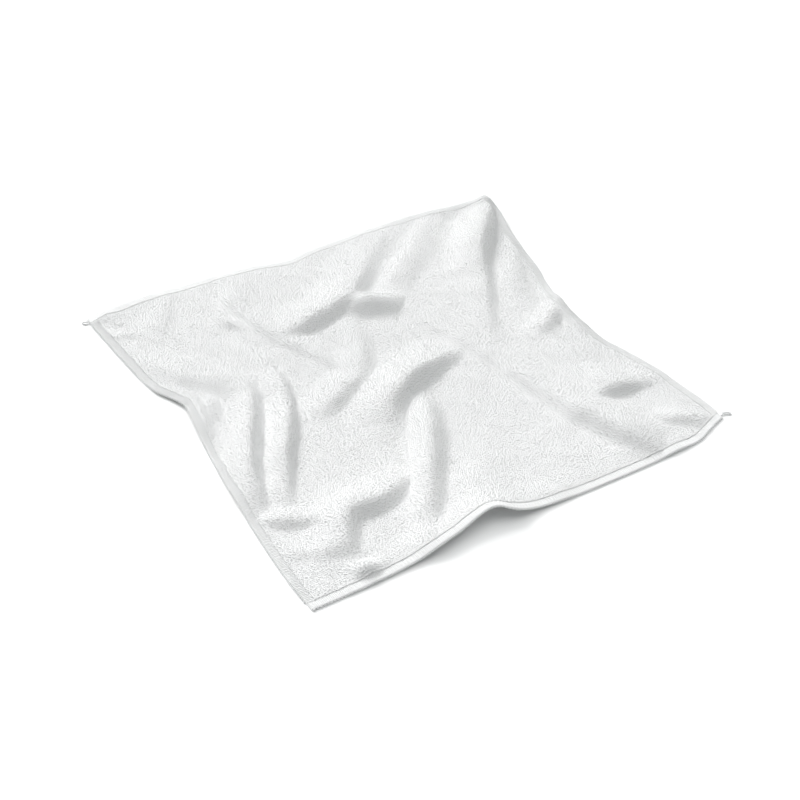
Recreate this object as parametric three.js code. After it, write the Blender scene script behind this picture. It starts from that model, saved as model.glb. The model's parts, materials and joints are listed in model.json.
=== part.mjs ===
// A square terry cleaning cloth that lies wrinkled on a table, with an overlocked edge all round.
// X runs along the front edge, Y from the front edge to the back edge, and Z up. Millimetres.
import * as THREE from "three";
import { mergeVertices } from "three/addons/utils/BufferGeometryUtils.js";

// Driving dimensions
const side = 400; // one side of the cloth, laid out flat
const terryThickness = 2.6; // ground knit with its loops on both faces
const pressedThickness = 1.0; // the same fabric where the seam presses it
const seamWidth = 7; // from the raw edge to the inner side of the looper threads
const pressedTaper = 4; // from the seam to where the fabric has its full thickness
const looperThickness = 0.45; // the layer that a looper thread makes over the fabric
const needleThreadThickness = 0.5; // the line of needle stitches beside the looper threads
const clearance = 0.3; // between pieces that touch
const tallestFold = 20; // fold heights are shares of this
const tailLength = 11; // the thread tail that a seam leaves at its end
const tailDiameter = 1.3;

// Counts
const innerCells = 20; // grid cells across the cloth inside its pressed margins
const pressedLines = 2; // grid lines on each side where the fabric is pressed thin
const spanSteps = 8; // steps between two points of a path
const tailSides = 6;
const tailSteps = 6;
const foldBlendPower = 2.2; // how folds that cross join: higher keeps them apart
const slopeStepShare = 0.0025; // step for a slope, as a share of the side
const settleShare = 0.36; // how far a grid corner moves to reach a crest, as a share of a cell

// The outline seen from above, corner to corner, as shares of half the side
const frontEdgeShares = [
  [-0.98, -1.005], [-0.875, -1.005], [-0.76, -1.005], [-0.635, -1], [-0.535, -0.995], [-0.465, -0.99],
  [-0.38, -0.975], [-0.285, -0.955], [-0.235, -0.95], [-0.195, -0.955], [-0.16, -0.975], [-0.12, -0.985],
  [-0.05, -0.99], [0.05, -0.995], [0.22, -1], [0.455, -1], [0.6, -0.995], [0.7, -0.99], [0.76, -0.97],
  [0.82, -0.945], [0.88, -0.925],
];
const rightEdgeShares = [
  [0.88, -0.925], [0.882, -0.87], [0.88, -0.775], [0.862, -0.562], [0.845, -0.455], [0.82, -0.34],
  [0.797, -0.24], [0.792, -0.11], [0.79, 0], [0.802, 0.085], [0.845, 0.2], [0.885, 0.31], [0.91, 0.42],
  [0.935, 0.535], [0.957, 0.645], [0.98, 0.725], [0.992, 0.79], [0.993, 0.845], [0.982, 0.888],
];
const backEdgeShares = [
  [-0.995, 0.98], [-0.94, 0.99], [-0.83, 1], [-0.7, 1.01], [-0.35, 1.01], [-0.2, 0.995], [-0.05, 0.96],
  [0.1, 0.985], [0.3, 0.995], [0.58, 1], [0.68, 0.985], [0.78, 0.96], [0.87, 0.93], [0.94, 0.905],
  [0.982, 0.888],
];
const leftEdgeShares = [
  [-0.98, -1.005], [-0.985, -0.85], [-0.975, -0.62], [-0.963, -0.45], [-0.952, -0.3], [-0.938, -0.15],
  [-0.918, 0], [-0.895, 0.13], [-0.898, 0.205], [-0.92, 0.275], [-0.95, 0.36], [-0.965, 0.475],
  [-0.98, 0.64], [-0.995, 0.82], [-0.995, 0.98],
];

// The main folds. Each crest runs through points [x, y, height]: x and y are shares of half the side,
// and height is a share of the tallest fold. leftShare and rightShare are how far the flanks reach
// from the crest, seen along it, as shares of half the side.
const foldShares = [
  { // left edge, outer ridge
    crest: [
      [-0.61, 0.22, 0.15], [-0.65, 0.12, 0.4], [-0.705, 0, 0.57], [-0.765, -0.115, 0.63],
      [-0.82, -0.22, 0.62], [-0.86, -0.32, 0.52], [-0.885, -0.41, 0.34], [-0.9, -0.48, 0.12],
      [-0.905, -0.52, 0.02],
    ],
    leftShare: 0.08, rightShare: 0.11,
  },
  { // left edge, inner ridge
    crest: [
      [-0.54, 0.49, 0.05], [-0.5, 0.4, 0.12], [-0.49, 0.27, 0.2], [-0.5, 0.15, 0.26], [-0.53, 0.04, 0.34],
      [-0.575, -0.065, 0.46], [-0.63, -0.17, 0.53], [-0.69, -0.265, 0.5], [-0.74, -0.36, 0.38],
      [-0.78, -0.435, 0.22], [-0.81, -0.5, 0.1], [-0.83, -0.545, 0.02],
    ],
    leftShare: 0.08, rightShare: 0.11,
  },
  { // broad rise from the back left corner
    crest: [
      [-0.91, 0.72, 0.04], [-0.89, 0.6, 0.12], [-0.86, 0.485, 0.22], [-0.815, 0.395, 0.27],
      [-0.755, 0.33, 0.28], [-0.695, 0.255, 0.3], [-0.65, 0.185, 0.3], [-0.62, 0.15, 0.2],
    ],
    leftShare: 0.16, rightShare: 0.1,
  },
  { // roll of the left edge
    crest: [
      [-0.865, 0.31, 0.06], [-0.855, 0.24, 0.2], [-0.85, 0.175, 0.3], [-0.865, 0.105, 0.32],
      [-0.885, 0.03, 0.24], [-0.9, -0.04, 0.08],
    ],
    leftShare: 0.08, rightShare: 0.08,
  },
  { // short ridge by the back left corner
    crest: [
      [-0.64, 0.955, 0.06], [-0.69, 0.87, 0.13], [-0.745, 0.775, 0.14], [-0.79, 0.7, 0.05],
    ],
    leftShare: 0.08, rightShare: 0.1,
  },
  { // low swell of the back edge beside it
    crest: [
      [-0.99, 0.975, 0.03], [-0.93, 0.99, 0.1], [-0.83, 1, 0.13], [-0.74, 1.005, 0.1], [-0.64, 1.01, 0.04],
    ],
    leftShare: 0.1, rightShare: 0.12,
  },
  { // low ridge down from the back edge
    crest: [
      [-0.38, 0.9, 0.08], [-0.42, 0.8, 0.24], [-0.42, 0.715, 0.25], [-0.41, 0.62, 0.25],
      [-0.393, 0.52, 0.24], [-0.365, 0.41, 0.22], [-0.32, 0.315, 0.18], [-0.273, 0.215, 0.12],
      [-0.227, 0.105, 0.04],
    ],
    leftShare: 0.14, rightShare: 0.08,
  },
  { // large bent ridge behind the middle
    crest: [
      [0.565, 1.03, 0.05], [0.457, 0.957, 0.15], [0.338, 0.845, 0.3], [0.215, 0.723, 0.43],
      [0.123, 0.625, 0.5], [0.03, 0.532, 0.55], [-0.063, 0.489, 0.56], [-0.154, 0.465, 0.53],
      [-0.248, 0.451, 0.43], [-0.323, 0.453, 0.26], [-0.39, 0.469, 0.08],
    ],
    leftShare: 0.08, rightShare: 0.2,
  },
  { // knuckle at its bend
    crest: [
      [-0.01, 0.482, 0.32], [0.025, 0.472, 0.52], [0.08, 0.447, 0.62], [0.136, 0.423, 0.58],
      [0.18, 0.395, 0.36], [0.21, 0.357, 0.08],
    ],
    leftShare: 0.12, rightShare: 0.088,
  },
  { // low ridge beside it
    crest: [
      [0.72, 0.96, 0.1], [0.62, 0.87, 0.2], [0.52, 0.78, 0.22], [0.42, 0.69, 0.22], [0.305, 0.59, 0.2],
      [0.2, 0.49, 0.05],
    ],
    leftShare: 0.13, rightShare: 0.08,
  },
  { // long ridge from the back right corner
    crest: [
      [0.982, 0.885, 0.32], [0.92, 0.81, 0.58], [0.86, 0.74, 0.8], [0.8, 0.667, 0.9], [0.725, 0.577, 0.84],
      [0.662, 0.48, 0.58], [0.615, 0.375, 0.36], [0.548, 0.253, 0.27], [0.476, 0.127, 0.22],
      [0.412, 0.008, 0.16], [0.35, -0.106, 0.08],
    ],
    leftShare: 0.08, rightShare: 0.17,
  },
  { // swell of the back edge at that corner
    crest: [
      [0.982, 0.885, 0.38], [0.88, 0.94, 0.32], [0.77, 0.965, 0.24], [0.66, 0.985, 0.12],
    ],
    leftShare: 0.12, rightShare: 0.16,
  },
  { // swell of the right edge at that corner
    crest: [
      [0.982, 0.885, 0.38], [0.995, 0.835, 0.44], [0.995, 0.78, 0.4], [0.985, 0.72, 0.27],
      [0.96, 0.64, 0.15], [0.935, 0.53, 0.04],
    ],
    leftShare: 0.09, rightShare: 0.1,
  },
  { // low ridge by the right edge
    crest: [
      [0.9, 0.58, 0.08], [0.85, 0.465, 0.26], [0.8, 0.37, 0.3], [0.745, 0.27, 0.18], [0.69, 0.104, 0.1],
      [0.657, 0, 0.04],
    ],
    leftShare: 0.08, rightShare: 0.1,
  },
  { // bump beside the right edge
    crest: [
      [0.775, -0.045, 0.16], [0.715, -0.055, 0.34], [0.66, -0.075, 0.42], [0.61, -0.1, 0.34],
      [0.575, -0.115, 0.12],
    ],
    leftShare: 0.08, rightShare: 0.1,
  },
  { // raised rim of the right edge
    crest: [
      [0.86, 0.2, 0.05], [0.815, 0.11, 0.22], [0.79, 0.04, 0.32], [0.772, -0.04, 0.36],
      [0.765, -0.12, 0.32], [0.775, -0.2, 0.16], [0.79, -0.27, 0.03],
    ],
    leftShare: 0.08, rightShare: 0.08,
  },
  { // cross ridge at the front right
    crest: [
      [0.505, -0.546, 0.08], [0.553, -0.568, 0.32], [0.61, -0.58, 0.43], [0.675, -0.585, 0.36],
      [0.735, -0.59, 0.18], [0.79, -0.6, 0.04],
    ],
    leftShare: 0.22, rightShare: 0.08,
  },
  { // long ridge down to the front edge
    crest: [
      [0.3, 0.294, 0.05], [0.328, 0.025, 0.13], [0.348, -0.202, 0.17], [0.375, -0.408, 0.26],
      [0.392, -0.517, 0.38], [0.409, -0.624, 0.5], [0.437, -0.715, 0.55], [0.462, -0.8, 0.54],
      [0.49, -0.87, 0.42], [0.52, -0.925, 0.24], [0.55, -0.965, 0.06],
    ],
    leftShare: 0.16, rightShare: 0.08,
  },
  { // short ridge in the middle
    crest: [
      [-0.03, 0.448, 0.1], [-0.065, 0.323, 0.25], [-0.105, 0.211, 0.35], [-0.157, 0.104, 0.4],
      [-0.218, 0.029, 0.38], [-0.305, -0.019, 0.33], [-0.387, -0.061, 0.27], [-0.452, -0.088, 0.18],
      [-0.497, -0.113, 0.06],
    ],
    leftShare: 0.08, rightShare: 0.14,
  },
  { // ridge across the middle
    crest: [
      [0.235, -0.015, 0.08], [0.17, -0.04, 0.3], [0.08, -0.071, 0.52], [-0.02, -0.107, 0.64],
      [-0.11, -0.154, 0.65], [-0.186, -0.205, 0.54], [-0.231, -0.259, 0.33], [-0.263, -0.312, 0.12],
    ],
    leftShare: 0.08, rightShare: 0.2,
  },
  { // ridge from the middle to the front edge
    crest: [
      [-0.075, -0.185, 0.1], [-0.097, -0.293, 0.32], [-0.147, -0.402, 0.46], [-0.211, -0.512, 0.52],
      [-0.273, -0.61, 0.53], [-0.334, -0.702, 0.5], [-0.406, -0.813, 0.4], [-0.473, -0.913, 0.26],
      [-0.525, -0.985, 0.12],
    ],
    leftShare: 0.092, rightShare: 0.09,
  },
  { // rise behind the lift of the front edge
    crest: [
      [-0.21, -0.97, 0.4], [-0.195, -0.88, 0.36], [-0.165, -0.78, 0.24], [-0.11, -0.66, 0.08],
    ],
    leftShare: 0.2, rightShare: 0.22,
  },
  { // lift of the front edge
    crest: [
      [-0.78, -1, 0.02], [-0.635, -0.99, 0.06], [-0.535, -0.99, 0.17], [-0.465, -0.98, 0.28],
      [-0.38, -0.97, 0.37], [-0.285, -0.955, 0.48], [-0.215, -0.955, 0.53], [-0.15, -0.97, 0.38],
      [-0.09, -0.985, 0.19], [-0.02, -0.99, 0.08], [0.1, -0.99, 0.02],
    ],
    leftShare: 0.17, rightShare: 0.1,
  },
  { // bent ridge at the front left
    crest: [
      [-0.32, -0.57, 0.05], [-0.385, -0.607, 0.2], [-0.465, -0.647, 0.36], [-0.552, -0.67, 0.47],
      [-0.623, -0.667, 0.52], [-0.672, -0.69, 0.53], [-0.71, -0.75, 0.48], [-0.742, -0.805, 0.36],
      [-0.762, -0.857, 0.12],
    ],
    leftShare: 0.08, rightShare: 0.17,
  },
  { // lift of the left edge
    crest: [
      [-0.96, 0.44, 0.04], [-0.935, 0.34, 0.22], [-0.915, 0.25, 0.3], [-0.905, 0.18, 0.28],
      [-0.905, 0.1, 0.14], [-0.915, 0.02, 0.03],
    ],
    leftShare: 0.11, rightShare: 0.1,
  },
  { // small ridge at the left edge
    crest: [
      [-0.93, -0.51, 0.03], [-0.905, -0.545, 0.18], [-0.87, -0.58, 0.28], [-0.815, -0.615, 0.29],
      [-0.758, -0.643, 0.24], [-0.713, -0.663, 0.1],
    ],
    leftShare: 0.1, rightShare: 0.08,
  },
  { // small ridge in front of it
    crest: [
      [-0.92, -0.735, 0.05], [-0.863, -0.763, 0.11], [-0.813, -0.794, 0.14], [-0.765, -0.829, 0.12],
      [-0.727, -0.851, 0.05],
    ],
    leftShare: 0.08, rightShare: 0.08,
  },
  { // dimple at the front left corner
    crest: [
      [-0.785, -0.885, 0.05], [-0.765, -0.92, 0.22], [-0.742, -0.94, 0.35], [-0.71, -0.945, 0.28],
      [-0.675, -0.935, 0.07],
    ],
    leftShare: 0.08, rightShare: 0.08,
  },
  { // small ridge at the front right corner
    crest: [
      [0.65, -0.762, 0.05], [0.684, -0.82, 0.16], [0.729, -0.855, 0.2], [0.78, -0.88, 0.15],
      [0.83, -0.895, 0.04],
    ],
    leftShare: 0.08, rightShare: 0.08,
  },
  { // low swell inside the right edge
    crest: [
      [0.62, -0.1, 0.15], [0.6, -0.3, 0.2], [0.59, -0.5, 0.28],
    ],
    leftShare: 0.17, rightShare: 0.17,
  },
];

// A smooth curve through points given as shares of the three sizes
function curveThrough(pointShares, xSize, ySize, zSize) {
  const pointAt = ([x, y, z = 0]) => new THREE.Vector3(x * xSize, y * ySize, z * zSize);
  const points = pointShares.map(pointAt);
  return new THREE.CatmullRomCurve3(points, false, "catmullrom");
}

const halfSide = side / 2;
const folds = foldShares.map(({ crest, leftShare, rightShare }) => ({
  line: curveThrough(crest, halfSide, halfSide, tallestFold).getPoints(spanSteps * (crest.length - 1)),
  leftReach: leftShare * halfSide,
  rightReach: rightShare * halfSide,
}));

// Height of one fold over a place: its crest's height, rounded down to nothing at the end of its flank
function foldHeight({ line, leftReach, rightReach }, x, y) {
  let nearest = Infinity;
  let height = 0;
  for (let step = 0; step < line.length - 1; step += 1) {
    const from = line[step];
    const to = line[step + 1];
    const length = Math.hypot(to.x - from.x, to.y - from.y);
    const alongX = (to.x - from.x) / length;
    const alongY = (to.y - from.y) / length;
    const run = (x - from.x) * alongX + (y - from.y) * alongY;
    const share = THREE.MathUtils.clamp(run / length, 0, 1);
    const offX = x - from.x - share * length * alongX;
    const offY = y - from.y - share * length * alongY;
    const distance = Math.hypot(offX, offY);
    if (distance < nearest) {
      const leftness = distance > 0 ? (alongX * offY - alongY * offX) / distance : 0;
      const reach = (leftReach + rightReach + leftness * (leftReach - rightReach)) / 2;
      const crest = from.z + (to.z - from.z) * share;
      nearest = distance;
      height = crest * (1 + Math.cos(Math.PI * Math.min(distance / reach, 1))) / 2;
    }
  }
  return Math.max(height, 0);
}

// Height of the fabric's underside over the table
function heightAt(x, y) {
  const total = folds.reduce((sum, fold) => sum + foldHeight(fold, x, y) ** foldBlendPower, 0);
  return total ** (1 / foldBlendPower);
}

// How much steeper than level the fabric is, as the factor that its upright thickness takes
function slantAt(x, y) {
  const step = slopeStepShare * side;
  const slopeX = (heightAt(x + step, y) - heightAt(x - step, y)) / (step + step);
  const slopeY = (heightAt(x, y + step) - heightAt(x, y - step)) / (step + step);
  return Math.hypot(1, slopeX, slopeY);
}

const frontEdge = curveThrough(frontEdgeShares, halfSide, halfSide, 0);
const rightEdge = curveThrough(rightEdgeShares, halfSide, halfSide, 0);
const backEdge = curveThrough(backEdgeShares, halfSide, halfSide, 0);
const leftEdge = curveThrough(leftEdgeShares, halfSide, halfSide, 0);

// Place over the table of a point of the flat cloth, given by its shares across and up the cloth
function placeOnTable(across, up) {
  const place = new THREE.Vector3();
  place.addScaledVector(frontEdge.getPointAt(across), 1 - up);
  place.addScaledVector(backEdge.getPointAt(across), up);
  place.addScaledVector(leftEdge.getPointAt(up), 1 - across);
  place.addScaledVector(rightEdge.getPointAt(up), across);
  place.addScaledVector(frontEdge.getPoint(0), -(1 - across) * (1 - up));
  place.addScaledVector(frontEdge.getPoint(1), -across * (1 - up));
  place.addScaledVector(backEdge.getPoint(0), -(1 - across) * up);
  place.addScaledVector(backEdge.getPoint(1), -across * up);
  return place;
}

// Grid lines of the flat cloth: raw edge, seam, end of the pressed margin, then even cells, mirrored
const margin = seamWidth + pressedTaper;
const innerLines = Array.from({ length: innerCells + 1 }, (_, line) =>
  margin + (side - 2 * margin) * line / innerCells);
const gridLines = [0, seamWidth, ...innerLines, side - seamWidth, side].map((distance) => distance / side);
const cells = gridLines.length - 1;

// Where a corner of the grid settles: on the nearest crest if one is close by, so that cells follow the folds
function settled(place) {
  let reach = settleShare * side / innerCells;
  let best = place;
  for (const crestPoint of folds.flatMap((fold) => fold.line)) {
    const distance = Math.hypot(crestPoint.x - place.x, crestPoint.y - place.y);
    if (distance < reach) {
      reach = distance;
      best = crestPoint;
    }
  }
  return best;
}

// Corners of the grid: their place, their upper and lower face, and the slant there
function gridCorner(column, row) {
  const depth = Math.min(column, row, cells - column, cells - row);
  const pressed = depth < pressedLines;
  const place = placeOnTable(gridLines[column], gridLines[row]);
  const { x, y } = depth > pressedLines ? settled(place) : place;
  const slant = slantAt(x, y);
  const middle = heightAt(x, y) + terryThickness / 2;
  const half = (pressed ? pressedThickness : terryThickness) / 2 * slant;
  return { x, y, slant, upper: middle + half, lower: Math.max(middle - half, 0) };
}

const corners = gridLines.map((_, column) => gridLines.map((__, row) => gridCorner(column, row)));

// A corner between two others
function between(first, second, share) {
  const mixed = {};
  for (const key of Object.keys(first)) mixed[key] = THREE.MathUtils.lerp(first[key], second[key], share);
  return mixed;
}

// The fabric, as a box with a fine grid whose corners move to their places
function clothPanelGeometry() {
  const box = new THREE.BoxGeometry(1, 1, 1, cells, cells, 1);
  box.deleteAttribute("normal");
  box.deleteAttribute("uv");
  const position = box.getAttribute("position");
  const lineOf = (coordinate) => Math.round((coordinate + 1 / 2) * cells);
  const quads = box.getIndex();
  for (let start = 0; start < quads.count; start += 6) {
    const [a, b, c, d] = [start, start + 1, start + 4, start + 2].map((slot) => quads.getX(slot));
    const columns = [a, b, c, d].map((vertex) => lineOf(position.getX(vertex)));
    const rows = [a, b, c, d].map((vertex) => lineOf(position.getY(vertex)));
    const facesUpOrDown = new Set(columns).size === 2 && new Set(rows).size === 2;
    if (facesUpOrDown && splitsFromFirstCorner(columns, rows)) {
      [a, b, c, a, c, d].forEach((vertex, slot) => quads.setX(start + slot, vertex));
    }
  }
  for (let vertex = 0; vertex < position.count; vertex += 1) {
    const corner = corners[lineOf(position.getX(vertex))][lineOf(position.getY(vertex))];
    const z = position.getZ(vertex) > 0 ? corner.upper : corner.lower;
    position.setXYZ(vertex, corner.x, corner.y, z);
  }
  return mergeVertices(box);
}

// Whether a cell is folded along its first and third corners. Margin cells fold from their lower left
// to their upper right, as the seam threads over them do, and the others where they fit the folds best.
function splitsFromFirstCorner(columns, rows) {
  const column = Math.min(...columns);
  const row = Math.min(...rows);
  const inMargin = Math.min(column, row, cells - 1 - column, cells - 1 - row) < pressedLines;
  if (inMargin) return (columns[2] - columns[0]) * (rows[2] - rows[0]) > 0;
  const [first, second, third, fourth] = columns.map((line, corner) => corners[line][rows[corner]]);
  const centreX = (first.x + second.x + third.x + fourth.x) / 4;
  const centreY = (first.y + second.y + third.y + fourth.y) / 4;
  const centre = heightAt(centreX, centreY) + terryThickness / 2;
  const middle = (one, other) => (one.upper + one.lower + other.upper + other.lower) / 4;
  return Math.abs(middle(first, third) - centre) < Math.abs(middle(second, fourth) - centre);
}

// Rows of grid corners along each edge, raw edge first, in the direction in which their cells fold alike
const lineNumbers = gridLines.map((_, line) => line);
const edges = {
  front: lineNumbers.map((line) => [0, 1, 2].map((depth) => corners[line][depth])),
  back: lineNumbers.map((line) => [0, 1, 2].map((depth) => corners[line][cells - depth])).reverse(),
  left: trimmed(lineNumbers.map((line) => [0, 1, 2].map((depth) => corners[depth][line]))),
  right: trimmed(lineNumbers.map((line) => [0, 1, 2].map((depth) => corners[cells - depth][line]))).reverse(),
};

// Left and right seams stop short of the front and back seams
function trimmed(rows) {
  const share = (needleThreadThickness + 2 * clearance) / pressedTaper;
  const first = rows[1].map((corner, depth) => between(corner, rows[2][depth], share));
  const last = rows[cells - 1].map((corner, depth) => between(corner, rows[cells - 2][depth], share));
  return [first, ...rows.slice(2, cells - 1), last];
}

// The corner data at a distance in from the raw edge. A distance below zero lies outside it, as high as it.
function inFromEdge([raw, seam, full], distance) {
  if (distance > seamWidth) return between(seam, full, (distance - seamWidth) / pressedTaper);
  const { x, y } = between(raw, seam, distance / seamWidth);
  return { ...between(raw, seam, Math.max(distance, 0) / seamWidth), x, y };
}

// A thread layer along an edge: section points are [distance in from the raw edge, rise off the face]
function threadLayerGeometry(rows, section, onTop) {
  const rings = rows.map((row) => section.map(([distance, rise]) => {
    const { x, y, upper, lower, slant } = inFromEdge(row, distance);
    return new THREE.Vector3(x, y, onTop ? upper + rise * slant : lower - rise * slant);
  }));
  const index = [];
  const sectionCount = section.length;
  for (let ring = 0; ring < rings.length - 1; ring += 1) {
    for (let point = 0; point < sectionCount; point += 1) {
      const next = (point + 1) % sectionCount;
      const [a, b] = [point, next].map((slot) => ring * sectionCount + slot);
      const [d, c] = [point, next].map((slot) => (ring + 1) * sectionCount + slot);
      const outward = section[point][0] > section[next][0];
      index.push(...(outward ? [a, b, d, b, c, d] : [a, b, c, a, c, d]));
    }
  }
  const outline = section.map(([distance, rise]) => new THREE.Vector2(distance, rise));
  const clockwise = THREE.ShapeUtils.isClockWise(outline);
  const lastRing = (rings.length - 1) * sectionCount;
  for (const [one, two, three] of THREE.ShapeUtils.triangulateShape(outline, [])) {
    const forward = clockwise ? [one, two, three] : [three, two, one];
    index.push(...forward, ...forward.map((slot) => slot + lastRing).reverse());
  }
  return outwardFacing(rings.flat(), index);
}

// A closed geometry whose faces point out, whichever way round it was made
function outwardFacing(points, index) {
  let volume = 0;
  for (let start = 0; start < index.length; start += 3) {
    const [one, two, three] = index.slice(start, start + 3).map((slot) => points[slot]);
    volume += one.dot(two.clone().cross(three));
  }
  const geometry = new THREE.BufferGeometry().setFromPoints(points);
  geometry.setIndex(volume > 0 ? index : index.reverse());
  return geometry;
}

// The fabric between two rows is folded where a needle thread starts from each row. This adds a row there.
function withRowsAtFolds(rows) {
  const share = (clearance + needleThreadThickness) / pressedTaper;
  return rows.flatMap((row, number) => {
    const next = rows[number + 1];
    if (!next) return [row];
    const [raw, seam] = [0, 1].map((depth) => between(row[depth], next[depth], share));
    const full = {};
    for (const key of Object.keys(seam)) full[key] = seam[key] + next[2][key] - next[1][key];
    return [row, [raw, seam, full]];
  });
}

// A looper thread lies over one face from its needle stitches to the raw edge, and round half of that edge
function looperSection() {
  const outer = -clearance - looperThickness;
  const top = clearance + looperThickness;
  const foot = (clearance - pressedThickness) / 2;
  const inner = [[seamWidth, clearance], [-clearance, clearance], [-clearance, foot]];
  return [...inner, [outer, foot], [outer, top], [seamWidth, top]];
}

// The needle thread lies beside the looper threads
function needleSection() {
  const near = seamWidth + clearance;
  const far = near + needleThreadThickness;
  const top = clearance + needleThreadThickness;
  return [[near, clearance], [near, top], [far, top], [far, clearance]];
}

// Thread tail: the seam's last stitches, run off its end and lying on the table. The tail bends to its
// left where aside is 1, and to its right where it is -1.
const tailWayShares = [[0, 0], [0.3, 0.04], [0.65, 0.2], [1, 0.16]]; // along and aside, shares of its length
const tailSeatShare = 0.4; // its place across the seam, as a share of the seam's width

function threadTailGeometry([endRow, beforeRow], aside) {
  const seat = inFromEdge(endRow, tailSeatShare * seamWidth);
  const inside = inFromEdge(beforeRow, tailSeatShare * seamWidth);
  const middleOf = (corner) => new THREE.Vector3(corner.x, corner.y, (corner.upper + corner.lower) / 2);
  const onward = middleOf(seat).sub(middleOf(inside)).setZ(0).normalize();
  const sideways = new THREE.Vector3(-onward.y, onward.x, 0).multiplyScalar(aside);
  const start = middleOf(seat).addScaledVector(onward, clearance);
  const way = tailWayShares.map(([alongShare, asideShare]) => {
    const point = start.clone().addScaledVector(onward, alongShare * tailLength);
    point.addScaledVector(sideways, asideShare * tailLength);
    return point.setZ(THREE.MathUtils.lerp(start.z, tailDiameter / 2, Math.sqrt(alongShare)));
  });
  const round = new THREE.Shape();
  for (let corner = 0; corner < tailSides; corner += 1) {
    const turn = 2 * Math.PI * corner / tailSides;
    const place = [Math.cos(turn), Math.sin(turn)].map((share) => share * tailDiameter / 2);
    if (corner === 0) round.moveTo(...place);
    else round.lineTo(...place);
  }
  const extrudePath = new THREE.CatmullRomCurve3(way);
  return new THREE.ExtrudeGeometry(round, { steps: tailSteps, extrudePath, curveSegments: 1 });
}

// Materials, one for each piece
function terryMaterial() {
  return new THREE.MeshStandardMaterial({ color: 0xeef0ef, roughness: 0.95, metalness: 0 });
}

function threadMaterial() {
  return new THREE.MeshStandardMaterial({ color: 0xf6f6f3, roughness: 0.8, metalness: 0 });
}

function piece(name, geometry, material) {
  const mesh = new THREE.Mesh(geometry, material);
  mesh.name = name;
  return mesh;
}

const cloth = new THREE.Group();
cloth.add(piece("cloth_panel", clothPanelGeometry(), terryMaterial()));

for (const [edgeName, rows] of Object.entries(edges)) {
  const layers = {
    needle_thread: threadLayerGeometry(withRowsAtFolds(rows), needleSection(), true),
    upper_looper_thread: threadLayerGeometry(rows, looperSection(), true),
    lower_looper_thread: threadLayerGeometry(rows, looperSection(), false),
  };
  const seam = new THREE.Group();
  for (const [layerName, geometry] of Object.entries(layers)) {
    seam.add(piece(`${edgeName}_${layerName}`, geometry, threadMaterial()));
  }
  cloth.add(seam);
}

const backLeftEnd = [edges.back[cells], edges.back[cells - 1]];
const frontRightEnd = [edges.front[cells], edges.front[cells - 1]];
cloth.add(piece("back_left_thread_tail", threadTailGeometry(backLeftEnd, 1), threadMaterial()));
cloth.add(piece("front_right_thread_tail", threadTailGeometry(frontRightEnd, -1), threadMaterial()));

// The origin is the middle of the cloth's box, at the table
const box = new THREE.Box3().setFromObject(cloth);
const boxCentre = box.getCenter(new THREE.Vector3());
cloth.position.set(-boxCentre.x, -boxCentre.y, -box.min.z);

export default cloth;
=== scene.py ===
import json
import math
import time
import bmesh
import bpy
import numpy as np
from mathutils import Matrix, Vector

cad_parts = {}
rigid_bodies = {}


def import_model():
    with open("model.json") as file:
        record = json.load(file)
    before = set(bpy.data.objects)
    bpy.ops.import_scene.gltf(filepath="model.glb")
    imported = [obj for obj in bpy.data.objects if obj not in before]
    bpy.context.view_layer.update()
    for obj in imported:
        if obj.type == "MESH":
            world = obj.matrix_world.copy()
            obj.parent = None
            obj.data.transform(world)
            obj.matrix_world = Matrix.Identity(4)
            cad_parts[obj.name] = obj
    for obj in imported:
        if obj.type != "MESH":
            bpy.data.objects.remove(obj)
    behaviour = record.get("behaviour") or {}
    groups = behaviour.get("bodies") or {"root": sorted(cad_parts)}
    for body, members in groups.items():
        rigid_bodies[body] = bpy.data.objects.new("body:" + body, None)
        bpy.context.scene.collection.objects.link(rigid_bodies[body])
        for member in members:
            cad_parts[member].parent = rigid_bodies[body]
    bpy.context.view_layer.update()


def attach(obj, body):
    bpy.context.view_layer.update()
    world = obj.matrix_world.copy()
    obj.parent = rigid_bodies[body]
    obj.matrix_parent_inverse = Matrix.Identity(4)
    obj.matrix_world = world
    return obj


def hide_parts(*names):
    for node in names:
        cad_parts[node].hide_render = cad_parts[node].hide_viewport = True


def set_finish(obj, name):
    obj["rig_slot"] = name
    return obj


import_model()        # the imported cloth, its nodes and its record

startedAt = time.time()


def report(stage):
    print(f"{stage} at {time.time() - startedAt:.0f} s")


# how the cloth lies

clothSize = {
    "side": 0.4,              # metres, laid out flat
    "thickness": 0.0026,      # ground knit with its pile on both faces
    "seamWidth": 0.007,       # raw edge to the line of needle stitches
    "taper": 0.004,           # seam to full thickness
    "edgeDip": 0.00035,       # how much lower the pressed edge lies
    "tallestFold": 0.020,     # fold heights are shares of this
    "foldBlend": 2.2,         # higher keeps crossing folds apart
    "lineSteps": 8,           # steps between two points of a crest
    "footSoftness": 1.5,      # higher lets a flank run out more gently
    "footReach": 1.2,         # how much further a flank reaches for that
    "edgeSteps": 40,          # steps between two points of the outline
    "normalStep": 0.0006,     # how far to each side a normal looks
}
half = clothSize["side"] / 2

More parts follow.
